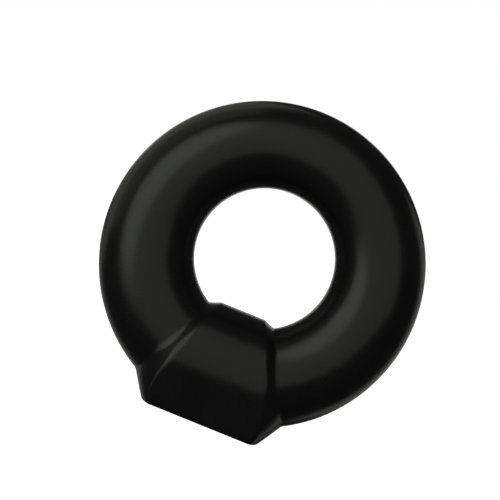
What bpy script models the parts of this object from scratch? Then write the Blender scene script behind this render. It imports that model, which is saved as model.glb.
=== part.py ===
"""Ring insulator for an electric fence: an eye-nut shape that stands on its flat foot.

A thick insulating ring carries the wire through its hole and swells into a straight block, whose
flat foot is bolted to the post.  The ring is two moulded half shells that meet on the ring's
mid-plane, held by five self-tapping screws from behind.  Between them lies a steel core: a round
rod bent into a C, with both of its ends held in a hexagonal threaded socket inside the block.  Two
rubber cords seal the seam, one along the hole and one along the outside, and an O-ring seals the foot.

Frame: metres, +Z up.  The origin is the centre of the foot's face.  The hole runs along Y and the
front is towards -Y.  A place on the ring is given by psi, the angle round the hole's centre
counted from straight down towards +X, and by rho, the distance from that centre.  phi turns round
the ring's section: 0 points outwards, 90 degrees to the front and 180 degrees into the hole.
"""

import math

import bmesh
import bpy
from mathutils import Euler, Matrix, Vector

MM = 0.001

# Ring
RING_RADIUS = 21.6 * MM  # hole's centre to the middle of the ring's section
TUBE_RADIUS = 8.6 * MM  # section radius at the sides of the ring
TUBE_TAPER = 0.58 * MM  # added to the section at the block, taken off opposite it

# Block: a straight barrel across the ring, with a flat foot
FOOT_TO_CENTRE = 31.6 * MM
BUMP_TO_CENTRE = 9.9 * MM  # the barrel's side inside the hole
BARREL_RADIUS = (FOOT_TO_CENTRE - BUMP_TO_CENTRE) / 2
BARREL_TO_CENTRE = (FOOT_TO_CENTRE + BUMP_TO_CENTRE) / 2
FOOT_HALF_DEPTH = 8.4 * MM
FOOT_FLAT_DEPTH = 8.0 * MM  # the part of it that is flat, up to the rounded edge
SHOULDER_OUTSIDE = (28.4, 0.76)  # where the block's end meets the ring, in degrees, and its slope
SHOULDER_FRONT = (28.6, 0.82)
SHOULDER_INSIDE = (31.2, 0.6)
CORNER_STEEPER = 0.5  # added to the slope towards the foot's corners, so that the foot stays square
EDGE_SHARPNESS = 60  # a higher power leaves a smaller radius on the block's edges
FOOT_TRIM = 0.2 * MM  # the rounded block is made this much too long, then cut flat at the foot

# Fits
GAP = 0.3 * MM  # clearance round every buried piece
SEAM = 0.3 * MM  # between the two shells

# Steel core and socket
CORE_RADIUS = 2.0 * MM
CORE_END_GAP = 1.6 * MM  # between the rod's two ends, inside the socket
CORE_STRAIGHT = 7.5 * MM  # half length of the rod's straight stretch
CORE_BEND_END = math.radians(40)  # where the rod is back on the ring's circle
HEX_ACROSS_FLATS = 13.0 * MM
HEX_BOTTOM, HEX_TOP = 3.5 * MM, 15.2 * MM
NECK_RADIUS = 4.8 * MM
BORE_RADIUS = 3.4 * MM  # tapping size for M8
BORE_TOP = 7.6 * MM

# Seals
INNER_CORD_RADIUS = 0.8 * MM
INNER_CORD_CIRCLE = 15.9 * MM  # its centre line along the ring
INNER_CORD_DIP = 3.2 * MM  # how far it swings into the bump
INNER_DIP_SPAN = math.radians(40)
OUTER_CORD_RADIUS = 0.5 * MM
OUTER_CORD_COVER = 1.4 * MM  # the outside's skin to the cord's centre
OUTER_CORD_START = math.radians(20)  # its ends stop beside the foot seal
FOOT_CORD_RADIUS = 0.7 * MM
FOOT_CORD_CIRCLE = 6.5 * MM
FOOT_CORD_HEIGHT = 0.85 * MM

# Screws
SCREW_RADIUS = 1.0 * MM
SCREW_LENGTH = 6.4 * MM
HEAD_RADIUS = 1.9 * MM
HEAD_HEIGHT = 1.3 * MM
HEAD_EDGE = 0.35  # the share of the head's height that is its straight side
RECESS_ARM = (0.45 * MM, 2.1 * MM, 1.4 * MM)  # width, length and height of a bar of the cross
SEAT = 2.2 * MM  # mid-plane to the underside of a screw's head
RING_SCREW_CIRCLE = 25.7 * MM
RING_SCREW_ANGLES = (90, 180, 270)
BLOCK_SCREW_X = 9.4 * MM
BLOCK_SCREW_Z = 6.0 * MM

# Fineness of the faceted surfaces
BLOCK_SPAN = math.radians(36)  # either side of the foot, where the block needs closer steps
FOOT_SPAN = BLOCK_SPAN / 2  # from the middle of the foot to either end of it
BLOCK_STEPS = 24  # along the block; a multiple of 4, so that a row lies at each end of the foot
RING_STEPS = 35  # along the rest; odd, so that no row of points meets the top screw's axis
FOOT_STEPS = 2  # across half of the foot's flat
SECTION_STEPS = 12  # over half a section, without the step over the foot's edge
CORD_STEPS = 36  # round the ring, for whatever is bent from round stock
ROUND_SIDES = 32
SMALL_SIDES = 20  # of screws and their holes
CORD_SIDES = 8
LONG = 40 * MM  # a cutter's length where it only has to pass through
HALVINGS = 40  # to find where a line leaves the barrel
GRAZING = 0.05  # the cosine below which a line is taken to miss a plane


def clear_scene():
    for obj in list(bpy.data.objects):
        bpy.data.objects.remove(obj)


def new_collection(name):
    collection = bpy.data.collections.new(name)
    bpy.context.scene.collection.children.link(collection)
    return collection


def material(name, colour, roughness, metallic=0.0):
    made = bpy.data.materials.new(name)
    made.use_nodes = True
    shader = made.node_tree.nodes["Principled BSDF"]
    shader.inputs["Base Color"].default_value = (*colour, 1.0)
    shader.inputs["Roughness"].default_value = roughness
    shader.inputs["Metallic"].default_value = metallic
    return made


# ---- the skin of ring and block ----


def place(psi, rho, y=0.0):
    return Vector((rho * math.sin(psi), y, FOOT_TO_CENTRE - rho * math.cos(psi)))


def from_foot(psi):
    """The angle between psi and the foot, from 0 to pi."""
    return abs((psi + math.pi) % (2 * math.pi) - math.pi)


def tube_radius(psi):
    return TUBE_RADIUS + TUBE_TAPER * math.cos(psi)


def rounded_min(a, b):
    """The smaller of two lengths, with the corner where they cross rounded off."""
    return (a**-EDGE_SHARPNESS + b**-EDGE_SHARPNESS) ** (-1 / EDGE_SHARPNESS)


def barrel_reach(beta):
    """The barrel's own section, measured from its axis at the angle beta from the foot's normal: a
    circle, with the foot and two planes that run from the circle to the foot's edges."""
    side = 2 * math.atan2(FOOT_HALF_DEPTH, BARREL_RADIUS)  # direction of each plane's normal
    beta = abs(beta)
    if beta >= side:
        return BARREL_RADIUS
    foot = (BARREL_RADIUS + FOOT_TRIM) / max(math.cos(beta), GRAZING)
    return rounded_min(foot, BARREL_RADIUS / math.cos(beta - side))


def inside_barrel(psi, rho, y):
    across = rho * math.cos(psi) - BARREL_TO_CENTRE
    return math.hypot(across, y) <= barrel_reach(math.atan2(y, across))


def block_reach(psi, phi):
    """Distance from the ring's centre line to the barrel's surface, found by halving."""
    low, high = 0.0, 3 * BARREL_RADIUS
    for _ in range(HALVINGS):
        middle = (low + high) / 2
        rho = RING_RADIUS + middle * math.cos(phi)
        if inside_barrel(psi, rho, middle * math.sin(phi)):
            low = middle
        else:
            high = middle
    return low


def shoulder_reach(psi, phi):
    """The sloping end of the block: how far it lets the block stand out at psi."""
    edge = SHOULDER_OUTSIDE if math.cos(phi) > 0 else SHOULDER_INSIDE
    share = math.sin(phi) ** 2
    foot_of_slope, slope = (f * share + e * (1 - share) for f, e in zip(SHOULDER_FRONT, edge))
    if math.cos(phi) > 0:
        slope += CORNER_STEEPER * 6.75 * share * (1 - share) ** 2  # 6.75 brings its peak to 1
    run = RING_RADIUS * (math.radians(foot_of_slope) - from_foot(psi))
    return max(tube_radius(psi) + slope * run, GAP)


def foot_reach(psi, phi):
    """Distance from the ring's centre line to the plane of the foot."""
    towards = math.cos(phi) * math.cos(psi)
    if towards < GRAZING:
        return LONG
    return (FOOT_TO_CENTRE - RING_RADIUS * math.cos(psi)) / towards


def skin_reach(psi, phi):
    """Distance from the ring's centre line to the skin, in the direction phi of the section."""
    if from_foot(psi) > BLOCK_SPAN:
        return tube_radius(psi)
    block = rounded_min(block_reach(psi, phi), shoulder_reach(psi, phi))
    return max(tube_radius(psi), min(block, foot_reach(psi, phi)))


def psi_steps():
    """Angles round the ring, closer together along the block."""
    block = [BLOCK_SPAN * (2 * i / BLOCK_STEPS - 1) for i in range(BLOCK_STEPS)]
    rest = 2 * math.pi - 2 * BLOCK_SPAN
    return block + [BLOCK_SPAN + rest * i / RING_STEPS for i in range(RING_STEPS)]


def phi_steps(psi):
    """Angles over half a section, with two of them at the foot's rounded long edge."""
    down = FOOT_TO_CENTRE / math.cos(min(from_foot(psi), FOOT_SPAN)) - RING_RADIUS
    flat = math.atan2(FOOT_FLAT_DEPTH, down)
    edge = math.atan2(FOOT_HALF_DEPTH, down)
    rest = SECTION_STEPS - FOOT_STEPS
    foot = [flat * i / FOOT_STEPS for i in range(FOOT_STEPS + 1)]
    return foot + [edge + (math.pi - edge) * i / rest for i in range(rest + 1)]


def shell_blank(name, side):
    """Half of the ring and block as a loft of half sections.

    side is -1 for the front shell and +1 for the rear one.
    """
    mesh = bmesh.new()
    rows = []
    for psi in psi_steps():
        row = []
        for phi in phi_steps(psi):
            reach = skin_reach(psi, phi)
            y = side * max(reach * math.sin(phi), SEAM / 2)
            row.append(mesh.verts.new(place(psi, RING_RADIUS + reach * math.cos(phi), y)))
        rows.append(row)
    for row, following in zip(rows, rows[1:] + rows[:1]):
        for i in range(len(row) - 1):
            mesh.faces.new((row[i], row[i + 1], following[i + 1], following[i]))
        mesh.faces.new((row[-1], row[0], following[0], following[-1]))
    bmesh.ops.triangulate(mesh, faces=mesh.faces)  # the skin's quads aren't flat
    bmesh.ops.recalc_face_normals(mesh, faces=mesh.faces)
    data = bpy.data.meshes.new(name)
    mesh.to_mesh(data)
    mesh.free()
    return bpy.data.objects.new(name, data)


# ---- shapes that repeat ----


def cylinder(name, radius, start, end, sides=ROUND_SIDES):
    """A cylinder or prism between two points."""
    start, end = Vector(start), Vector(end)
    mesh = bmesh.new()
    bmesh.ops.create_cone(
        mesh,
        cap_ends=True,
        segments=sides,
        radius1=radius,
        radius2=radius,
        depth=(end - start).length,
    )
    data = bpy.data.meshes.new(name)
    mesh.to_mesh(data)
    mesh.free()
    obj = bpy.data.objects.new(name, data)
    obj.location = (start + end) / 2
    obj.rotation_euler = (end - start).to_track_quat("Z", "Y").to_euler()
    return obj


def hexagon(name, across_flats, bottom, top):
    """An upright hexagonal prism on the Z axis with two of its flats facing +X and -X."""
    corner = across_flats / 2 / math.cos(math.pi / 6)
    return cylinder(name, corner, (0, 0, bottom), (0, 0, top), 6)


def tube(name, points, radius, closed):
    """A round cord or rod along points, as a curve with a bevel."""
    curve = bpy.data.curves.new(name, "CURVE")
    curve.dimensions = "3D"
    curve.bevel_depth = radius
    curve.bevel_resolution = 2
    curve.use_fill_caps = not closed
    spline = curve.splines.new("POLY")
    spline.points.add(len(points) - 1)
    for target, point in zip(spline.points, points):
        target.co = (*point, 1.0)
    spline.use_cyclic_u = closed
    return bpy.data.objects.new(name, curve)


def as_mesh(obj, collection):
    """The curve or modified object made into a plain mesh object of the same name and place."""
    collection.objects.link(obj)
    bpy.context.view_layer.update()
    graph = bpy.context.evaluated_depsgraph_get()
    data = bpy.data.meshes.new_from_object(obj.evaluated_get(graph))
    mesh = bmesh.new()
    mesh.from_mesh(data)
    bmesh.ops.remove_doubles(mesh, verts=mesh.verts, dist=0.00001)
    bmesh.ops.triangulate(mesh, faces=[f for f in mesh.faces if len(f.verts) == 4])
    bmesh.ops.recalc_face_normals(mesh, faces=mesh.faces)
    mesh.to_mesh(data)
    mesh.free()
    name, matrix = obj.name, obj.matrix_world.copy()
    bpy.data.objects.remove(obj)
    made = bpy.data.objects.new(name, data)
    made.matrix_world = matrix
    data.name = name
    return made


def torus(name, circle, radius, height):
    """A ring lying flat round the Z axis, in no collection yet."""
    bpy.ops.mesh.primitive_torus_add(
        location=(0, 0, height),
        major_radius=circle,
        minor_radius=radius,
        major_segments=ROUND_SIDES,
        minor_segments=CORD_SIDES,
    )
    obj = bpy.context.object
    obj.name = name
    obj.users_collection[0].objects.unlink(obj)
    return obj


# ---- routes inside the shells ----


def spread(first, last):
    """Even angles from first to last, both included."""
    return [first + (last - first) * i / CORD_STEPS for i in range(CORD_STEPS + 1)]


def core_rho(psi):
    """The rod's centre line: straight through the socket, then a bend out to the ring's circle."""
    angle = from_foot(psi)
    start = math.atan2(CORE_STRAIGHT, BARREL_TO_CENTRE)
    if angle <= start:
        return BARREL_TO_CENTRE / math.cos(angle)
    if angle >= CORE_BEND_END:
        return RING_RADIUS
    span = CORE_BEND_END - start
    t = (angle - start) / span
    from_rho = BARREL_TO_CENTRE / math.cos(start)
    from_slope = BARREL_TO_CENTRE * math.tan(start) / math.cos(start) * span
    return (
        (2 * t**3 - 3 * t**2 + 1) * from_rho
        + (t**3 - 2 * t**2 + t) * from_slope
        + (3 * t**2 - 2 * t**3) * RING_RADIUS
    )


def core_points():
    """From one end of the rod, round the ring, to the other."""
    first = math.atan2(CORE_END_GAP / 2, BARREL_TO_CENTRE)
    return [place(psi, core_rho(psi)) for psi in spread(first, 2 * math.pi - first)]


def core_channel_points():
    return [place(psi, core_rho(psi)) for psi in spread(0, 2 * math.pi)[:-1]]


def inner_cord_points():
    """A loop round the hole, which swings out behind the block's bump."""
    points = []
    for psi in spread(0, 2 * math.pi)[:-1]:
        along = min(from_foot(psi) / INNER_DIP_SPAN, 1.0)
        dip = INNER_CORD_DIP * (0.5 + 0.5 * math.cos(math.pi * along))
        points.append(place(psi, INNER_CORD_CIRCLE - dip))
    return points


def outer_cord_points():
    """From one side of the foot over the top to the other, at an even depth under the skin."""
    angles = spread(OUTER_CORD_START, 2 * math.pi - OUTER_CORD_START)
    return [place(psi, RING_RADIUS + tube_radius(psi) - OUTER_CORD_COVER) for psi in angles]


def screw_places():
    """(x, z) of each screw: two in the block, then three round the ring."""
    ring = (place(math.radians(a), RING_SCREW_CIRCLE) for a in RING_SCREW_ANGLES)
    return [(-BLOCK_SCREW_X, BLOCK_SCREW_Z), (BLOCK_SCREW_X, BLOCK_SCREW_Z)] + [
        (p.x, p.z) for p in ring
    ]


# ---- cutters ----


def shell_cutters(side, collection):
    """What is hollowed out of one shell."""
    tag = "front" if side < 0 else "rear"
    round_cuts = [
        tube(f"{tag}_core_channel", core_channel_points(), CORE_RADIUS + GAP, closed=True),
        tube(f"{tag}_inner_groove", inner_cord_points(), INNER_CORD_RADIUS + GAP, closed=True),
        tube(f"{tag}_outer_groove", outer_cord_points(), OUTER_CORD_RADIUS + GAP, closed=False),
    ]
    made = [as_mesh(cutter, collection) for cutter in round_cuts] + [
        torus(f"{tag}_foot_groove", FOOT_CORD_CIRCLE, FOOT_CORD_RADIUS + GAP, FOOT_CORD_HEIGHT),
        hexagon(f"{tag}_socket_pocket", HEX_ACROSS_FLATS + 2 * GAP, HEX_BOTTOM - GAP, HEX_TOP + GAP),
        cylinder(f"{tag}_neck_hole", NECK_RADIUS + GAP, (0, 0, -LONG), (0, 0, HEX_BOTTOM + MM)),
    ]
    for i, (x, z) in enumerate(screw_places(), 1):
        tip, out = (x, SEAT - SCREW_LENGTH - GAP, z), (x, LONG, z)
        made.append(cylinder(f"{tag}_screw_hole_{i}", SCREW_RADIUS + GAP, tip, out, SMALL_SIDES))
        if side > 0:
            seat = (x, SEAT, z)
            made.append(cylinder(f"{tag}_head_hole_{i}", HEAD_RADIUS + GAP, seat, out, SMALL_SIDES))
    return made


def combine(target, tool, operation, collection):
    """Adds a Boolean between two meshes, and hides the second."""
    collection.objects.link(tool)
    tool.hide_render = True
    tool.display_type = "WIRE"
    modifier = target.modifiers.new(tool.name, "BOOLEAN")
    modifier.operation = operation
    modifier.object = tool


def cut(target, tool, collection):
    combine(target, tool, "DIFFERENCE", collection)


def join(target, tool, collection):
    combine(target, tool, "UNION", collection)


# ---- the pieces ----


def shell(name, side, finish, parts, cutters):
    obj = shell_blank(name, side)
    obj.data.materials.append(finish)
    obj.data.shade_smooth()
    obj.data.set_sharp_from_angle(angle=math.radians(35))
    parts.objects.link(obj)
    for cutter in shell_cutters(side, cutters):
        cut(obj, cutter, cutters)


def core_ring(finish, parts):
    obj = tube("core_ring", core_points(), CORE_RADIUS, closed=False)
    obj.data.materials.append(finish)
    parts.objects.link(obj)


def anchor_socket(finish, parts, cutters):
    """A hexagonal nut with a round neck that reaches the foot, threaded from below and drilled
    across for the rod's ends."""
    obj = hexagon("anchor_socket", HEX_ACROSS_FLATS, HEX_BOTTOM, HEX_TOP)
    obj.data.materials.append(finish)
    parts.objects.link(obj)
    cross = FOOT_TO_CENTRE - BARREL_TO_CENTRE
    neck = cylinder("socket_neck", NECK_RADIUS, (0, 0, 0), (0, 0, HEX_BOTTOM + MM))
    bore = cylinder("socket_bore", BORE_RADIUS, (0, 0, -LONG), (0, 0, BORE_TOP))
    cross_hole = cylinder("socket_cross_hole", CORE_RADIUS + GAP, (-LONG, 0, cross), (LONG, 0, cross))
    join(obj, neck, cutters)
    for cutter in (bore, cross_hole):
        cut(obj, cutter, cutters)


def seals(finish, parts):
    made = [
        tube("inner_seam_seal", inner_cord_points(), INNER_CORD_RADIUS, closed=True),
        tube("outer_seam_seal", outer_cord_points(), OUTER_CORD_RADIUS, closed=False),
        torus("foot_seal", FOOT_CORD_CIRCLE, FOOT_CORD_RADIUS, FOOT_CORD_HEIGHT),
    ]
    for obj in made:
        obj.data.materials.append(finish)
        parts.objects.link(obj)


def screw_mesh(collection):
    """A pan-head screw along +Z with a cross recess.  The underside of its head is at the origin."""
    dome = [
        (HEAD_RADIUS * math.cos(a), HEAD_HEIGHT * (HEAD_EDGE + (1 - HEAD_EDGE) * math.sin(a)))
        for a in (math.radians(d) for d in (0, 25, 50, 75))
    ]
    profile = [(0.0, HEAD_HEIGHT), *reversed(dome), (HEAD_RADIUS, 0.0), (SCREW_RADIUS, 0.0)]
    profile += [(SCREW_RADIUS, SCREW_RADIUS - SCREW_LENGTH), (0.0, -SCREW_LENGTH)]
    mesh = bpy.data.meshes.new("screw_blank")
    edges = [(i, i + 1) for i in range(len(profile) - 1)]
    mesh.from_pydata([(x, 0.0, z) for x, z in profile], edges, [])
    blank = bpy.data.objects.new("screw_blank", mesh)
    turned = blank.modifiers.new("turn", "SCREW")
    turned.steps = turned.render_steps = SMALL_SIDES
    turned.use_merge_vertices = True
    turned.merge_threshold = 0.00001
    blank = as_mesh(blank, collection)
    collection.objects.link(blank)
    for i in range(2):
        data = bpy.data.meshes.new(f"recess_arm_{i}")
        box = bmesh.new()
        bmesh.ops.create_cube(box, size=1.0)
        bmesh.ops.scale(box, vec=RECESS_ARM, verts=box.verts)
        bmesh.ops.rotate(box, verts=box.verts, matrix=Matrix.Rotation(math.pi / 2 * i, 3, "Z"))
        bmesh.ops.translate(box, vec=(0, 0, HEAD_HEIGHT), verts=box.verts)
        box.to_mesh(data)
        box.free()
        cut(blank, bpy.data.objects.new(f"recess_arm_{i}", data), collection)
    bpy.context.view_layer.update()
    graph = bpy.context.evaluated_depsgraph_get()
    made = bpy.data.meshes.new_from_object(blank.evaluated_get(graph))
    bpy.data.objects.remove(blank)
    made.name = "shell_screw"
    return made


def shell_screws(finish, parts, cutters):
    mesh = screw_mesh(cutters)
    mesh.materials.clear()
    mesh.materials.append(finish)
    for i, (x, z) in enumerate(screw_places(), 1):
        obj = bpy.data.objects.new(f"shell_screw_{i}", mesh)
        obj.location = (x, SEAT, z)
        obj.rotation_euler = Euler((-math.pi / 2, 0, 0))  # the head looks to the rear, +Y
        parts.objects.link(obj)


def main():
    clear_scene()
    parts = new_collection("ring_insulator")
    cutters = new_collection("cutters")
    polymer = material("black polymer", (0.012, 0.012, 0.013), 0.42)
    steel = material("galvanised steel", (0.52, 0.53, 0.54), 0.38, 1.0)
    stainless = material("stainless steel", (0.62, 0.61, 0.59), 0.28, 1.0)
    rubber = material("seal rubber", (0.02, 0.02, 0.022), 0.65)
    shell("front_shell", -1, polymer, parts, cutters)
    shell("rear_shell", +1, polymer, parts, cutters)
    core_ring(steel, parts)
    anchor_socket(steel, parts, cutters)
    seals(rubber, parts)
    shell_screws(stainless, parts, cutters)


main()
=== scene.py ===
"""Looks for the ring insulator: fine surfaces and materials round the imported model, then the studio.

Metres, +Z up, in the model's own frame: the foot's face is centred on the origin, the hole runs
along Y and the front looks towards -Y.  psi is the angle round the hole's centre, counted from
straight down towards +X, and rho the distance from that centre.  phi turns round the ring's
section: 0 points outwards, 90 degrees to the front or rear skin, and 180 degrees into the hole.
"""

import math

import bmesh
import bpy
import numpy as np
from mathutils import Matrix, Vector

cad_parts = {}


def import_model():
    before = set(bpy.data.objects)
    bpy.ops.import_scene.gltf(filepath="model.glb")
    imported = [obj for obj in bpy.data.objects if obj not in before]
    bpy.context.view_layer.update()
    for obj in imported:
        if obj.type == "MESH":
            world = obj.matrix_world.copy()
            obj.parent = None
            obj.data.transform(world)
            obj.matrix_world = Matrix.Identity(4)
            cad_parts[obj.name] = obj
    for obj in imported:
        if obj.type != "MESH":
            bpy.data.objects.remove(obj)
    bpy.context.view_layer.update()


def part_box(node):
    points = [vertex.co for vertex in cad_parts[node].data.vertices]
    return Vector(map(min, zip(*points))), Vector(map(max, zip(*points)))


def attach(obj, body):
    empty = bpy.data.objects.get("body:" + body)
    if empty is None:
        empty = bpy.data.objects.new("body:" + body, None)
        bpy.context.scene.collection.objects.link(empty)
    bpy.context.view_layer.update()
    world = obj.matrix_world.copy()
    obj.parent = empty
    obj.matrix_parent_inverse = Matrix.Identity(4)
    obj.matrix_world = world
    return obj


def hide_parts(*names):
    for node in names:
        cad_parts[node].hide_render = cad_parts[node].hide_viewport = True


MM = 0.001
BODY = "root"
TINY = 1e-12  # square metres, which keeps the ring's centre line from a division by zero

# Ring and block: the driving dimensions of the solids
RING_RADIUS = 21.6 * MM
TUBE_RADIUS = 8.6 * MM
TUBE_TAPER = 0.58 * MM
FOOT_TO_CENTRE = 31.6 * MM
BUMP_TO_CENTRE = 9.9 * MM
BARREL_RADIUS = (FOOT_TO_CENTRE - BUMP_TO_CENTRE) / 2
BARREL_TO_CENTRE = (FOOT_TO_CENTRE + BUMP_TO_CENTRE) / 2
FOOT_HALF_DEPTH = 8.4 * MM
SHOULDER_OUTSIDE = (28.4, 0.76)  # degrees from the foot at which a sloping end meets the ring, slope
SHOULDER_FRONT = (28.6, 0.82)
SHOULDER_INSIDE = (31.2, 0.6)
CORNER_STEEPER = 0.5  # added to the slope at the foot's corners
CORNER_SCALE = 6.75  # brings the peak of share * (1 - share)^2 to 1

# Radii of the moulding's edges
CREST_ROUND = 0.5 * MM  # where the barrel breaks into its sloping ends, in front
CREASE_ROUND = 0.6 * MM  # where the slopes run out on the ring, in front
SIDE_ROUND = 0.2  # the share of both that is left at the outside and in the hole
SIDE_FADE = 4  # the power of the front's share by which they grow back
FOOT_ROUND = 0.35 * MM
SEAM_ROUND = 0.16 * MM
SEAM_CLEAR = 1.2 * SEAM_ROUND  # the skin's rows stop this far from the seam
SEAM = 0.01 * MM  # between the two shells

# Fits inside the shells
GAP = 0.3 * MM
CORE_RADIUS = 2.0 * MM
CORE_END_GAP = 1.6 * MM
CORE_STRAIGHT = 7.5 * MM
CORE_BEND_END = math.radians(40)
HEX_ACROSS_FLATS = 13.0 * MM
HEX_CORNER = HEX_ACROSS_FLATS / math.sqrt(3)
HEX_BOTTOM, HEX_TOP = 3.5 * MM, 15.2 * MM
CHAMFER_CONE = (2.1 * HEX_CORNER, 0.49 * HEX_ACROSS_FLATS)  # its radii under and on top of the hexagon
NECK_RADIUS = 4.8 * MM
NECK_LIP = 0.25 * MM  # the chamfer round the neck's end
BORE_RADIUS = 3.4 * MM
BORE_TOP = 7.6 * MM
THREAD_DEPTH = 0.6 * MM
THREAD_PITCH = 1.25 * MM
THREAD_CREST = 0.12  # the crest's share of the pitch
THREAD_SHORT = 0.6 * MM  # from the thread's last turn to the bore's end
DRILL_SHORT = 0.3 * MM  # from the drill's floor to the bore's end
MOUTH_DEPTH = 0.9 * MM
MOUTH_RADII = (BORE_RADIUS + THREAD_DEPTH + 0.1 * MM, BORE_RADIUS - 0.2 * MM)  # countersink, from below
INNER_CORD_RADIUS = 0.8 * MM
INNER_CORD_CIRCLE = 15.9 * MM
INNER_CORD_DIP = 3.2 * MM
INNER_DIP_SPAN = math.radians(40)
OUTER_CORD_RADIUS = 0.5 * MM
OUTER_CORD_COVER = 1.4 * MM
OUTER_CORD_START = math.radians(20)
FOOT_CORD_RADIUS = 0.7 * MM
FOOT_CORD_CIRCLE = 6.5 * MM
FOOT_CORD_HEIGHT = 0.85 * MM
SCREW_RADIUS = 1.0 * MM
SCREW_ROOT = 0.74  # the thread's root radius, as a share of the screw's
SCREW_LENGTH = 6.4 * MM
SCREW_PITCH = 0.95 * MM
SCREW_CREST = 0.05
SCREW_POINT = (0.1 * MM, 0.73 * SCREW_RADIUS)  # the tip's radii
HEAD_RADIUS = 1.9 * MM
HEAD_HEIGHT = 1.3 * MM
HEAD_EDGE = 0.06 * MM
HEAD_WALL = 0.32  # the share of its height at which the dome starts
HEAD_DOME = 0.7  # the power that squares the dome
RECESS_SPAN = (0.7 * MM, 2.3 * MM)  # the cross's arms, at its floor and above the head
RECESS_WIDTH = (0.34 * MM, 0.5 * MM)
RECESS_HEIGHTS = (0.25 * MM, HEAD_HEIGHT + 0.2 * MM)
SEAT = 2.2 * MM
SCREWS = [f"shell_screw_{i}" for i in range(1, 6)]
SCREW_TURNS = (0.3, 1.1, 0.7, 0.1, 1.4)  # how far round each was driven, in radians

# Fineness
BLOCK_SPAN = math.radians(38)
BLOCK_ROWS = 240
RING_ROWS = 260
FOOT_ROWS, EDGE_ROWS, SIDE_ROWS = 12, 12, 64
EDGE_BEFORE, EDGE_AFTER = 1.2 * MM, 0.4 * MM  # how far the close rows reach past the foot's long edge
SEAM_ROWS = 4
HALVINGS = 44
CHANNEL_STEPS, OUTER_GROOVE_STEPS, FOOT_GROOVE_STEPS = 180, 160, 128  # round what is cut out
CORD_STEPS, FOOT_CORD_STEPS = 240, 160  # round what lies in it
THREAD_ROWS = 14  # for each turn
THREAD_FADE = 8  # the rows over which a thread starts and runs out
BAR_SIDES, ROD_SIDES, INNER_CORD_SIDES, OUTER_CORD_SIDES = 24, 32, 20, 16
TURNED_SIDES, BORE_SIDES, SCREW_SIDES, SHANK_SIDES, HEAD_SIDES = 96, 48, 40, 48, 64
SHARP_SKIN, SHARP_BAR, SHARP_TURNED = 32, 50, 28  # degrees from which an edge is shaded sharp
LONG = 40 * MM  # past the model, for cutting tools

# Camera
AZIMUTH = math.radians(-0.5)  # the camera looks almost straight along the hole
ELEVATION = math.radians(1.5)  # from a little above
ROLL = math.radians(22.1)  # the ring leans to the right, so its foot points to the lower left
CAMERA_DISTANCE = 0.42
FRAME_WIDTH = 92.4 * MM  # what the picture spans at the ring
LOOK_RIGHT, LOOK_UP = -2.47 * MM, 2.15 * MM  # the aim, from the hole's centre

# Looks
NOISE_RANGE = (0.3, 0.7)  # where most of a noise's values lie
POLYMER_COLOURS = ((0.0088, 0.0090, 0.0088), (0.0118, 0.0121, 0.0118))
POLYMER_ROUGHNESS = 0.22
RUBBER_COLOURS = ((0.014, 0.014, 0.015), (0.028, 0.028, 0.029))
ZINC_COLOURS = ((0.60, 0.61, 0.62), (0.46, 0.48, 0.50))
STAINLESS_COLOURS = ((0.66, 0.65, 0.63), (0.56, 0.55, 0.54))

# Studio
LIGHT_COLOUR = (0.96, 1.0, 0.93)
RIM_REACH = 28 * MM  # from the hole's centre to the rim that the wrap light is turned to
BOARD_DEPTH = 16 * MM  # the white board behind the object, from the hole's centre
ROOM_GREY = 0.034  # what the object sees where there is no light
FLOOR_HALF = 6.0
FLOOR_DROP = 0.02 * MM
FLOOR_GLOW = 1.1


# ---- shape of the skin ----


def place(psi, rho, y=0.0):
    """The point at an angle and a distance from the hole's centre."""
    return Vector((rho * math.sin(psi), y, FOOT_TO_CENTRE - rho * math.cos(psi)))


def from_foot(psi):
    """The angle from straight down, whichever way round is shorter."""
    return np.abs((psi + math.pi) % (2 * math.pi) - math.pi)


def tube_radius(psi):
    """The ring's section, thickest at the foot and thinnest at the top."""
    return TUBE_RADIUS + TUBE_TAPER * np.cos(psi)


def round_meet(a, b, radius):
    """The intersection of two solids given as distances, with a round convex edge."""
    outside = np.hypot(np.maximum(a + radius, 0), np.maximum(b + radius, 0))
    return np.minimum(-radius, np.maximum(a, b)) + outside


def round_join(a, b, radius):
    """The union of two solids given as distances, with a round concave fillet."""
    inside = np.hypot(np.maximum(radius - a, 0), np.maximum(radius - b, 0))
    return np.maximum(radius, np.minimum(a, b)) - inside


def barrel_distance(across, y):
    """The barrel's section: a circle, and two planes from it to the foot's long edges."""
    side = 2 * math.atan2(FOOT_HALF_DEPTH, BARREL_RADIUS)
    beta = np.arctan2(np.abs(y), across)
    plane = across * math.cos(side) + np.abs(y) * math.sin(side) - BARREL_RADIUS
    return np.where(beta < side, plane, np.hypot(across, y) - BARREL_RADIUS)


def front_share(out, y):
    """How far a direction is turned to the front or rear: 0 straight out or in, 1 along the hole."""
    return y**2 / (out**2 + y**2 + TINY)


def shoulder_distance(psi, out, y):
    """The block's sloping ends, steeper towards the foot's corners so that the foot stays square."""
    share = front_share(out, y)
    outward = out > 0
    end = np.where(outward, SHOULDER_OUTSIDE[0], SHOULDER_INSIDE[0])
    slope = np.where(outward, SHOULDER_OUTSIDE[1], SHOULDER_INSIDE[1])
    end = np.radians(SHOULDER_FRONT[0] * share + end * (1 - share))
    slope = SHOULDER_FRONT[1] * share + slope * (1 - share)
    corner = CORNER_SCALE * share * (1 - share) ** 2
    slope = slope + np.where(outward, CORNER_STEEPER * corner, 0)
    run = RING_RADIUS * (end - from_foot(psi))
    return (np.hypot(out, y) - tube_radius(psi) - slope * run) / np.sqrt(1 + slope**2)


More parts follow.
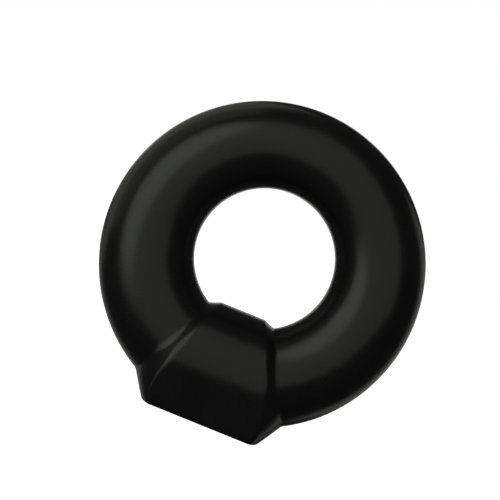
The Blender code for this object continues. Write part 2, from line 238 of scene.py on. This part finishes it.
def skin_distance(psi, out, y):
    """Signed distance to the skin at a point that lies out by out and y from the ring's centre line."""
    soft = SIDE_ROUND + (1 - SIDE_ROUND) * front_share(out, y) ** SIDE_FADE
    ring = np.hypot(out, y) - tube_radius(psi)
    down = (RING_RADIUS + out) * np.cos(psi)
    barrel = barrel_distance(down - BARREL_TO_CENTRE, y)
    block = round_meet(barrel, shoulder_distance(psi, out, y), CREST_ROUND * soft)
    block = round_meet(block, down - FOOT_TO_CENTRE, FOOT_ROUND)
    near = from_foot(psi) < math.pi / 2
    return np.where(near, round_join(ring, block, CREASE_ROUND * soft), ring)


def skin_reach(psi, phi):
    """Distance from the ring's centre line to the skin in the direction phi, found by halving."""
    low = np.zeros(np.broadcast(psi, phi).shape)
    high = low + 3 * BARREL_RADIUS
    for _ in range(HALVINGS):
        middle = (low + high) / 2
        inside = skin_distance(psi, middle * np.cos(phi), middle * np.sin(phi)) < 0
        low = np.where(inside, middle, low)
        high = np.where(inside, high, middle)
    return low


# ---- mesh helpers ----


def psi_rows():
    """Angles once round the ring, close together over the block."""
    block = np.linspace(-BLOCK_SPAN, BLOCK_SPAN, BLOCK_ROWS, endpoint=False)
    rest = np.linspace(BLOCK_SPAN, 2 * math.pi - BLOCK_SPAN, RING_ROWS, endpoint=False)
    return np.concatenate([block, rest])


def phi_rows(psi):
    """Angles over half a section for each psi, close together at the foot's long edge."""
    across = np.minimum(from_foot(psi), BLOCK_SPAN / 2)
    down = FOOT_TO_CENTRE / np.cos(across) - RING_RADIUS
    before = np.arctan2(FOOT_HALF_DEPTH - EDGE_BEFORE, down)
    after = np.arctan2(FOOT_HALF_DEPTH + EDGE_AFTER, down)
    return np.concatenate(
        [
            np.linspace(np.zeros_like(psi), before, FOOT_ROWS, endpoint=False),
            np.linspace(before, after, EDGE_ROWS, endpoint=False),
            np.linspace(after, np.full_like(psi, math.pi), SIDE_ROWS + 1),
        ]
    ).T


def new_object(name, data):
    obj = bpy.data.objects.new(name, data)
    bpy.context.scene.collection.objects.link(obj)
    return obj


def from_bmesh(name, mesh):
    """A smooth-shaded object whose faces all point outwards."""
    bmesh.ops.recalc_face_normals(mesh, faces=mesh.faces)
    data = bpy.data.meshes.new(name)
    mesh.to_mesh(data)
    mesh.free()
    data.shade_smooth()
    return new_object(name, data)


def grid_mesh(name, points, around):
    """A closed mesh from a grid of points whose rows are closed loops.  around joins the last row to
    the first; otherwise each end is closed by a face."""
    mesh = bmesh.new()
    rows = [[mesh.verts.new(p) for p in row] for row in points]
    pairs = list(zip(rows, rows[1:])) + ([(rows[-1], rows[0])] if around else [])
    for row, following in pairs:
        for i in range(len(row)):
            j = (i + 1) % len(row)
            mesh.faces.new((row[i], row[j], following[j], following[i]))
    if not around:
        mesh.faces.new(rows[0])
        mesh.faces.new(rows[-1])
    return from_bmesh(name, mesh)


def cylinder(name, radius, start, end, sides=TURNED_SIDES, top_radius=None):
    """A round bar from start to end, or a cone where the top's radius is given."""
    start, end = Vector(start), Vector(end)
    mesh = bmesh.new()
    bmesh.ops.create_cone(
        mesh,
        cap_ends=True,
        segments=sides,
        radius1=radius,
        radius2=radius if top_radius is None else top_radius,
        depth=(end - start).length,
    )
    obj = from_bmesh(name, mesh)
    obj.data.transform((end - start).to_track_quat("Z", "Y").to_matrix().to_4x4())
    obj.data.transform(Matrix.Translation((start + end) / 2))
    return obj


def upright(name, bottom, top, radius, top_radius=None, sides=TURNED_SIDES):
    """A round bar or cone on the Z axis."""
    return cylinder(name, radius, (0, 0, bottom), (0, 0, top), sides, top_radius)


def hexagon(name, across_flats, bottom, top):
    """A hexagonal bar on the Z axis."""
    return cylinder(name, across_flats / math.sqrt(3), (0, 0, bottom), (0, 0, top), 6)


def ring_point(centre, side, flat, radius, k, sides):
    """Corner k of a regular polygon round a centre, in the plane of side and flat."""
    a = 2 * math.pi * k / sides
    return centre + side * (radius * math.cos(a)) + flat * (radius * math.sin(a))


def sweep(name, path, radius, closed, sides=BAR_SIDES):
    """A round bar along a path in the XZ or XY plane, with its section square to the path."""
    points = [Vector(p) for p in path]
    count = len(points)
    flat = Vector((0, 1, 0)) if all(p.y == 0 for p in points) else Vector((0, 0, 1))
    loops = []
    for i, point in enumerate(points):
        before = points[i - 1] if i or closed else point
        after = points[(i + 1) % count] if i + 1 < count or closed else point
        side = (after - before).normalized().cross(flat).normalized()
        loops.append([ring_point(point, side, flat, radius, k, sides) for k in range(sides)])
    return grid_mesh(name, loops, around=closed)


def boolean(target, tool, operation="DIFFERENCE"):
    """Applies a Boolean between two closed meshes and removes the second."""
    modifier = target.modifiers.new(tool.name, "BOOLEAN")
    modifier.operation = operation
    modifier.solver = "MANIFOLD"
    modifier.object = tool
    bpy.context.view_layer.update()
    graph = bpy.context.evaluated_depsgraph_get()
    data = bpy.data.meshes.new_from_object(target.evaluated_get(graph))
    target.modifiers.clear()
    old = target.data
    target.data = data
    bpy.data.meshes.remove(old)
    bpy.data.objects.remove(tool)


def finish_piece(obj, node, material, sharp=SHARP_SKIN):
    """Material, shading, body and the solid it stands for."""
    obj.data.materials.clear()
    obj.data.materials.append(material)
    obj.data.shade_smooth()
    obj.data.set_sharp_from_angle(angle=math.radians(sharp))
    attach(obj, BODY)
    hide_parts(node)


# ---- routes ----


def core_rho(psi):
    """The rod runs straight through the socket, then bends out to the ring's circle."""
    angle = float(from_foot(psi))
    start = math.atan2(CORE_STRAIGHT, BARREL_TO_CENTRE)
    if angle <= start:
        return BARREL_TO_CENTRE / math.cos(angle)
    if angle >= CORE_BEND_END:
        return RING_RADIUS
    span = CORE_BEND_END - start
    t = (angle - start) / span
    from_rho = BARREL_TO_CENTRE / math.cos(start)
    from_slope = BARREL_TO_CENTRE * math.tan(start) / math.cos(start) * span
    return (
        (2 * t**3 - 3 * t**2 + 1) * from_rho
        + (t**3 - 2 * t**2 + t) * from_slope
        + (3 * t**2 - 2 * t**3) * RING_RADIUS
    )


def core_path(first, steps):
    return [place(psi, core_rho(psi)) for psi in np.linspace(first, 2 * math.pi - first, steps)]


def inner_cord_path(steps):
    path = []
    for psi in np.linspace(0, 2 * math.pi, steps, endpoint=False):
        along = min(float(from_foot(psi)) / INNER_DIP_SPAN, 1.0)
        dip = INNER_CORD_DIP * (0.5 + 0.5 * math.cos(math.pi * along))
        path.append(place(psi, INNER_CORD_CIRCLE - dip))
    return path


def outer_cord_path(steps):
    angles = np.linspace(OUTER_CORD_START, 2 * math.pi - OUTER_CORD_START, steps)
    return [place(psi, RING_RADIUS + float(tube_radius(psi)) - OUTER_CORD_COVER) for psi in angles]


def foot_cord_path(steps):
    angles = np.linspace(0, 2 * math.pi, steps, endpoint=False)
    return [
        (FOOT_CORD_CIRCLE * math.cos(a), FOOT_CORD_CIRCLE * math.sin(a), FOOT_CORD_HEIGHT)
        for a in angles
    ]


# ---- the shells ----


def shell_blank(name, side):
    """One shell before it is hollowed: the fine skin, a rounded seam edge and a flat parting face."""
    psi = psi_rows()
    phi = phi_rows(psi)
    reach = skin_reach(psi[:, None], phi)
    outer, inner = reach[:, 0], reach[:, -1]
    turn = np.linspace(math.pi / 2, 0, SEAM_ROWS)
    points = []
    for i, angle in enumerate(psi):
        section = []
        for a in turn:
            out = outer[i] - SEAM_ROUND * (1 - math.cos(a))
            section.append((out, SEAM / 2 + SEAM_ROUND * (1 - math.sin(a))))
        for r, f in zip(reach[i], phi[i]):
            y = r * math.sin(f)
            if y > SEAM / 2 + SEAM_CLEAR:
                section.append((r * math.cos(f), y))
        for a in turn[::-1]:
            out = -inner[i] + SEAM_ROUND * (1 - math.cos(a))
            section.append((out, SEAM / 2 + SEAM_ROUND * (1 - math.sin(a))))
        points.append([place(angle, RING_RADIUS + out, side * y) for out, y in section])
    return grid_mesh(name, points, around=True)


def hollow(shell, side):
    """Cuts the core's channel, the grooves, the socket's pocket and the screws' holes."""
    channel = core_path(0.0, CHANNEL_STEPS + 1)[:-1]
    boolean(shell, sweep("channel", channel, CORE_RADIUS + GAP, closed=True))
    inner = inner_cord_path(CHANNEL_STEPS)
    boolean(shell, sweep("inner_groove", inner, INNER_CORD_RADIUS + GAP, closed=True))
    outer = outer_cord_path(OUTER_GROOVE_STEPS)
    boolean(shell, sweep("outer_groove", outer, OUTER_CORD_RADIUS + GAP, closed=False))
    foot = foot_cord_path(FOOT_GROOVE_STEPS)
    boolean(shell, sweep("foot_groove", foot, FOOT_CORD_RADIUS + GAP, closed=True))
    boolean(shell, hexagon("pocket", HEX_ACROSS_FLATS + 2 * GAP, HEX_BOTTOM - GAP, HEX_TOP + GAP))
    boolean(shell, cylinder("neck_hole", NECK_RADIUS + GAP, (0, 0, -LONG), (0, 0, HEX_BOTTOM + MM)))
    for node in SCREWS:
        low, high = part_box(node)
        x, z = (low.x + high.x) / 2, (low.z + high.z) / 2
        tip, seat, past = (x, low.y - GAP, z), (x, SEAT, z), (x, LONG, z)
        boolean(shell, cylinder("shank_hole", SCREW_RADIUS + GAP, tip, past, SHANK_SIDES))
        if side > 0:
            boolean(shell, cylinder("head_hole", HEAD_RADIUS + GAP, seat, past, HEAD_SIDES))


def make_shell(name, node, side, material):
    shell = shell_blank(name, side)
    hollow(shell, side)
    finish_piece(shell, node, material)


# ---- metal and rubber pieces ----


def make_core(material):
    """The bent rod, whose ends stop short of each other inside the socket."""
    first = math.atan2(CORE_END_GAP / 2, BARREL_TO_CENTRE)
    rod = sweep("core_rod", core_path(first, CORD_STEPS), CORE_RADIUS, closed=False, sides=ROD_SIDES)
    finish_piece(rod, "core_ring", material, SHARP_BAR)


def thread(name, radius, depth, pitch, bottom, top, crest, steps):
    """A threaded plug between two heights: radius at the root, radius + depth at the crest.  crest is
    the crest's share of the pitch."""
    levels = int((top - bottom) / pitch * THREAD_ROWS)
    rows = []
    for i in range(levels + 1):
        z = bottom + (top - bottom) * i / levels
        fade = min(1.0, i / THREAD_FADE, (levels - i) / THREAD_FADE)
        row = []
        for k in range(steps):
            a = 2 * math.pi * k / steps
            phase = (z / pitch - k / steps) % 1.0
            flank = max(0.0, min(1.0, (abs(phase - 0.5) * 2 - crest) / (1 - 2 * crest)))
            r = radius + depth * fade * (1 - flank)
            row.append((r * math.cos(a), r * math.sin(a), z))
        rows.append(row)
    return grid_mesh(name, rows, around=False)


def make_socket(material):
    """A chamfered hexagon on a round neck, with an M8 thread from below and a cross hole."""
    socket = hexagon("threaded_socket", HEX_ACROSS_FLATS, HEX_BOTTOM, HEX_TOP)
    boolean(socket, upright("chamfer", HEX_BOTTOM - 2 * MM, HEX_TOP, *CHAMFER_CONE), "INTERSECT")
    boolean(socket, upright("neck", NECK_LIP, HEX_BOTTOM + MM, NECK_RADIUS), "UNION")
    boolean(socket, upright("lip", 0, NECK_LIP, NECK_RADIUS - NECK_LIP, NECK_RADIUS), "UNION")
    ends = (-2 * MM, BORE_TOP - THREAD_SHORT)
    bore = (BORE_RADIUS, THREAD_DEPTH, THREAD_PITCH)
    boolean(socket, thread("bore", *bore, *ends, THREAD_CREST, BORE_SIDES))
    boolean(socket, upright("drill_point", -MM, BORE_TOP - DRILL_SHORT, BORE_RADIUS))
    boolean(socket, upright("mouth", -0.01 * MM, MOUTH_DEPTH, *MOUTH_RADII))
    height = FOOT_TO_CENTRE - BARREL_TO_CENTRE
    boolean(socket, cylinder("cross", CORE_RADIUS + GAP, (-LONG, 0, height), (LONG, 0, height)))
    finish_piece(socket, "anchor_socket", material, SHARP_TURNED)


def make_seals(material):
    inner = inner_cord_path(CORD_STEPS)
    inner = sweep("inner_seam_cord", inner, INNER_CORD_RADIUS, closed=True, sides=INNER_CORD_SIDES)
    finish_piece(inner, "inner_seam_seal", material)
    outer = outer_cord_path(CORD_STEPS)
    outer = sweep("outer_seam_cord", outer, OUTER_CORD_RADIUS, closed=False, sides=OUTER_CORD_SIDES)
    finish_piece(outer, "outer_seam_seal", material, SHARP_BAR)
    foot = sweep("foot_o_ring", foot_cord_path(FOOT_CORD_STEPS), FOOT_CORD_RADIUS, closed=True)
    finish_piece(foot, "foot_seal", material)


def recess_tool(name):
    """A tapered cross that leaves the screw's driver recess."""
    arms = []
    for turn in (0.0, math.pi / 2):
        mesh = bmesh.new()
        bmesh.ops.create_cube(mesh, size=1.0)
        for v in mesh.verts:
            end = int(v.co.z > 0)
            v.co.x *= RECESS_SPAN[end]
            v.co.y *= RECESS_WIDTH[end]
            v.co.z = RECESS_HEIGHTS[end]
        bmesh.ops.rotate(mesh, verts=mesh.verts, matrix=Matrix.Rotation(turn, 3, "Z"))
        arms.append(from_bmesh(name, mesh))
    boolean(arms[0], arms[1], "UNION")
    return arms[0]


def screw_shank():
    """The threaded shank and its point, below the seat at the origin."""
    root, depth = SCREW_RADIUS * SCREW_ROOT, SCREW_RADIUS * (1 - SCREW_ROOT)
    start = SCREW_RADIUS - SCREW_LENGTH
    shank = thread("screw", root, depth, SCREW_PITCH, start, 0.02 * MM, SCREW_CREST, SCREW_SIDES)
    tip = upright("tip", -SCREW_LENGTH, start + 0.05 * MM, *SCREW_POINT, SCREW_SIDES)
    boolean(shank, tip, "UNION")
    return shank


def screw_head():
    """A pan head on the origin, with a cross recess."""
    profile = [(HEAD_RADIUS - HEAD_EDGE, 0.0), (HEAD_RADIUS, HEAD_EDGE)]
    for degrees in range(0, 80, 8):
        a = math.radians(degrees)
        height = HEAD_WALL + (1 - HEAD_WALL) * math.sin(a)
        profile.append((HEAD_RADIUS * math.cos(a) ** HEAD_DOME, HEAD_HEIGHT * height))
    x, y = Vector((1, 0, 0)), Vector((0, 1, 0))
    rows = []
    for radius, z in profile:
        middle = Vector((0, 0, z))
        rows.append([ring_point(middle, x, y, radius, k, HEAD_SIDES) for k in range(HEAD_SIDES)])
    head = grid_mesh("head", rows, around=False)
    boolean(head, recess_tool("recess"))
    return head


def make_screws(material):
    """Pan-head self-tapping screws, driven from behind against their seats."""
    blank = screw_head()
    boolean(blank, screw_shank(), "UNION")
    for node, turn in zip(SCREWS, SCREW_TURNS):
        low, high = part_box(node)
        screw = new_object("fine_" + node, blank.data.copy())
        screw.data.transform(Matrix.Rotation(turn, 4, "Z"))
        screw.data.transform(Matrix.Rotation(-math.pi / 2, 4, "X"))
        screw.data.transform(Matrix.Translation(((low.x + high.x) / 2, SEAT, (low.z + high.z) / 2)))
        finish_piece(screw, node, material, SHARP_TURNED)
    bpy.data.objects.remove(blank)


# ---- materials ----


def node_tree(name):
    """A new material, with its nodes and its shader."""
    material = bpy.data.materials.new(name)
    material.use_nodes = True
    tree = material.node_tree
    return material, tree, tree.nodes["Principled BSDF"]


def noise(tree, scale, detail=2.0, roughness=0.5):
    """Noise in the object's own space, with its scale in features per metre."""
    coordinates = tree.nodes.new("ShaderNodeTexCoord")
    texture = tree.nodes.new("ShaderNodeTexNoise")
    texture.inputs["Scale"].default_value = scale
    texture.inputs["Detail"].default_value = detail
    texture.inputs["Roughness"].default_value = roughness
    tree.links.new(coordinates.outputs["Object"], texture.inputs["Vector"])
    return texture.outputs["Fac"]


def ramp(tree, value, low, high):
    """Maps a noise onto the range low to high."""
    node = tree.nodes.new("ShaderNodeMapRange")
    node.inputs["From Min"].default_value = NOISE_RANGE[0]
    node.inputs["From Max"].default_value = NOISE_RANGE[1]
    node.inputs["To Min"].default_value = low
    node.inputs["To Max"].default_value = high
    tree.links.new(value, node.inputs["Value"])
    return node.outputs["Result"]


def mix_colours(tree, factor, first, second):
    """From the first colour at a factor of 0 to the second at 1."""
    node = tree.nodes.new("ShaderNodeMix")
    node.data_type = "RGBA"
    node.inputs["A"].default_value = (*first, 1.0)
    node.inputs["B"].default_value = (*second, 1.0)
    tree.links.new(factor, node.inputs["Factor"])
    return node.outputs["Result"]


def add(tree, first, second):
    node = tree.nodes.new("ShaderNodeMath")
    node.operation = "ADD"
    tree.links.new(first, node.inputs[0])
    tree.links.new(second, node.inputs[1])
    return node.outputs["Value"]


def bump(tree, shader, height, distance):
    """Fine relief on a shader's normal."""
    node = tree.nodes.new("ShaderNodeBump")
    node.inputs["Distance"].default_value = distance
    tree.links.new(height, node.inputs["Height"])
    tree.links.new(node.outputs["Normal"], shader.inputs["Normal"])


def polymer_material():
    """Black polymer, smooth and semi-gloss, with a faint moulded grain and dull patches."""
    material, tree, shader = node_tree("black_polymer")
    cloud = noise(tree, 90, 3.0)
    grain = noise(tree, 5200, 2.0, 0.6)
    colour = mix_colours(tree, ramp(tree, cloud, 0, 1), *POLYMER_COLOURS)
    tree.links.new(colour, shader.inputs["Base Color"])
    dull = ramp(tree, cloud, 0.0, 0.05)
    level = add(tree, dull, ramp(tree, grain, POLYMER_ROUGHNESS, POLYMER_ROUGHNESS + 0.04))
    tree.links.new(level, shader.inputs["Roughness"])
    shader.inputs["IOR"].default_value = 1.5
    bump(tree, shader, grain, 0.003 * MM)
    return material


def steel_material(name, colours, roughness, tool_marks):
    """Bare or zinc-coated steel with cloudy patches and fine tool marks, as many to the metre."""
    material, tree, shader = node_tree(name)
    shader.inputs["Metallic"].default_value = 1.0
    cloud = noise(tree, 700, 4.0, 0.6)
    colour = mix_colours(tree, ramp(tree, cloud, 0, 1), *colours)
    tree.links.new(colour, shader.inputs["Base Color"])
    tree.links.new(ramp(tree, cloud, roughness - 0.06, roughness + 0.1), shader.inputs["Roughness"])
    bump(tree, shader, noise(tree, tool_marks, 3.0, 0.7), 0.006 * MM)
    return material


def rubber_material():
    """Dull black rubber."""
    material, tree, shader = node_tree("seal_rubber")
    cloud = noise(tree, 1500, 3.0)
    colour = mix_colours(tree, ramp(tree, cloud, 0, 1), *RUBBER_COLOURS)
    tree.links.new(colour, shader.inputs["Base Color"])
    tree.links.new(ramp(tree, cloud, 0.5, 0.7), shader.inputs["Roughness"])
    bump(tree, shader, noise(tree, 6000, 2.0), 0.01 * MM)
    return material


# ---- studio ----


def view_axes():
    """The picture's right and up directions, and the direction from the object to the camera."""
    level = math.cos(ELEVATION)
    back = Vector((math.sin(AZIMUTH) * level, -math.cos(AZIMUTH) * level, math.sin(ELEVATION)))
    right = Vector((math.cos(AZIMUTH), math.sin(AZIMUTH), 0))
    up = back.cross(right)
    turn = Matrix.Rotation(ROLL, 3, back)
    return turn @ right, turn @ up, back


def studio_point(centre, clock, polar, distance):
    """A point seen from the object at a clock angle in the picture and an angle from the camera's side."""
    right, up, back = view_axes()
    c, p = math.radians(clock), math.radians(polar)
    side = right * math.sin(c) + up * math.cos(c)
    return centre + (side * math.sin(p) + back * math.cos(p)) * distance


def area_light(name, width, height, radiance, shape="RECTANGLE"):
    """A panel of a given radiance, whatever its size.  It shines along its own -Z."""
    data = bpy.data.lights.new(name, "AREA")
    data.shape = shape
    data.size, data.size_y = width, height
    area = width * height * (math.pi / 4 if shape == "ELLIPSE" else 1)
    data.energy = radiance * math.pi * area
    data.color = LIGHT_COLOUR
    light = new_object(name, data)
    light.visible_camera = False
    return light


def soft_light(name, centre, clock, polar, distance, size, radiance, shape="RECTANGLE", turn=0):
    """A panel that faces the centre.  Its size is given across the clock direction and along it, and
    turn swings it in its own plane."""
    light = area_light(name, *size, radiance, shape)
    location = studio_point(centre, clock, polar, distance)
    back = (location - centre).normalized()
    out = (studio_point(centre, clock, polar + 1, distance) - location).normalized()
    across = out.cross(back).normalized()
    matrix = Matrix((across, back.cross(across), back)).transposed()
    matrix = matrix @ Matrix.Rotation(math.radians(turn), 3, "Z")
    light.matrix_world = Matrix.Translation(location) @ matrix.to_4x4()


def front_light(name, centre, distance, left, right, down, up, radiance):
    """A panel parallel to the picture.  left, right, down and up are the angles from the line to the
    camera at which the object sees its edges."""
    left, right, down, up = (distance * math.tan(math.radians(a)) for a in (left, right, down, up))
    light = area_light(name, left + right, down + up, radiance)
    axis_right, axis_up, back = view_axes()
    middle = axis_right * (right - left) / 2 + axis_up * (up - down) / 2
    matrix = Matrix((axis_right, axis_up, back)).transposed().to_4x4()
    light.matrix_world = Matrix.Translation(centre + middle + back * distance) @ matrix


def bounce_light(name, centre, clock, near, far, width, radiance):
    """Light off a white board just behind the object: the patch of it that lies from near to far in
    the clock direction and faces the camera."""
    light = area_light(name, width, far - near, radiance)
    right, up, back = view_axes()
    c = math.radians(clock)
    out = right * math.sin(c) + up * math.cos(c)
    matrix = Matrix((back.cross(out), out, -back)).transposed().to_4x4()
    location = centre + out * (near + far) / 2 - back * BOARD_DEPTH
    light.matrix_world = Matrix.Translation(location) @ matrix


def make_lights(centre):
    """A window in front, a disc and a wrap at the upper left, the board's bounce, and a rear panel."""
    front_light("front_panel", centre, 0.40, left=66, right=50, down=21, up=60, radiance=0.38)
    soft_light("upper_left_disc", centre, 313, 48, 0.20, (0.29, 0.17), 0.65, "ELLIPSE", turn=12)
    rim = studio_point(centre, 322, 90, RIM_REACH)
    soft_light("upper_left_wrap", rim, 322, 100, 0.08, (0.17, 0.065), 0.20)
    bounce_light("upper_left_bounce", centre, 325, near=0.036, far=0.066, width=0.110, radiance=0.24)
    bounce_light("lower_right_bounce", centre, 118, near=0.034, far=0.054, width=0.095, radiance=0.26)
    bounce_light("lower_left_bounce", centre, 255, near=0.035, far=0.050, width=0.040, radiance=0.18)
    soft_light("rear_panel", centre, 0, 180, 0.45, (0.34, 0.34), 0.80)


def make_world():
    """White behind everything for the camera, and almost dark for what the object reflects."""
    world = bpy.data.worlds.new("studio")
    bpy.context.scene.world = world
    world.use_nodes = True
    tree = world.node_tree
    tree.nodes.clear()
    path = tree.nodes.new("ShaderNodeLightPath")
    seen = tree.nodes.new("ShaderNodeBackground")
    seen.inputs["Color"].default_value = (1, 1, 1, 1)
    room = tree.nodes.new("ShaderNodeBackground")
    room.inputs["Color"].default_value = (ROOM_GREY, ROOM_GREY, ROOM_GREY, 1)
    mix = tree.nodes.new("ShaderNodeMixShader")
    output = tree.nodes.new("ShaderNodeOutputWorld")
    tree.links.new(path.outputs["Is Camera Ray"], mix.inputs["Fac"])
    tree.links.new(room.outputs["Background"], mix.inputs[1])
    tree.links.new(seen.outputs["Background"], mix.inputs[2])
    tree.links.new(mix.outputs["Shader"], output.inputs["Surface"])


def make_floor():
    """A pale floor under the foot, bright enough to run into the white behind it.  It neither shines
    on the object nor shows in it."""
    mesh = bmesh.new()
    bmesh.ops.create_grid(mesh, x_segments=1, y_segments=1, size=FLOOR_HALF)
    floor = from_bmesh("floor", mesh)
    floor.location.z = -FLOOR_DROP
    material, _, shader = node_tree("pale_floor")
    shader.inputs["Base Color"].default_value = (0.8, 0.8, 0.8, 1)
    shader.inputs["Roughness"].default_value = 0.9
    shader.inputs["Emission Color"].default_value = (1, 1, 1, 1)
    shader.inputs["Emission Strength"].default_value = FLOOR_GLOW
    floor.data.materials.append(material)
    floor.visible_glossy = False
    floor.visible_diffuse = False


def make_camera(centre):
    """A long lens almost straight in front of the hole."""
    right, up, back = view_axes()
    data = bpy.data.cameras.new("camera")
    data.sensor_width = 36.0
    data.lens = data.sensor_width * CAMERA_DISTANCE / FRAME_WIDTH
    data.clip_start, data.clip_end = 0.01, 50.0
    camera = new_object("camera", data)
    matrix = Matrix((right, up, back)).transposed().to_4x4()
    aim = centre + right * LOOK_RIGHT + up * LOOK_UP
    camera.matrix_world = Matrix.Translation(aim + back * CAMERA_DISTANCE) @ matrix
    bpy.context.scene.camera = camera
    bpy.context.scene.view_settings.view_transform = "Standard"


def main():
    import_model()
    centre = Vector((0, 0, FOOT_TO_CENTRE))
    make_camera(centre)
    polymer = polymer_material()
    zinc = steel_material("zinc_coated_steel", ZINC_COLOURS, roughness=0.34, tool_marks=3000)
    stainless = steel_material("stainless_steel", STAINLESS_COLOURS, roughness=0.26, tool_marks=4500)
    make_shell("front_skin", "front_shell", -1, polymer)
    make_shell("rear_skin", "rear_shell", +1, polymer)
    make_core(zinc)
    make_socket(zinc)
    make_seals(rubber_material())
    make_screws(stainless)
    make_floor()
    make_world()
    make_lights(centre)


main()
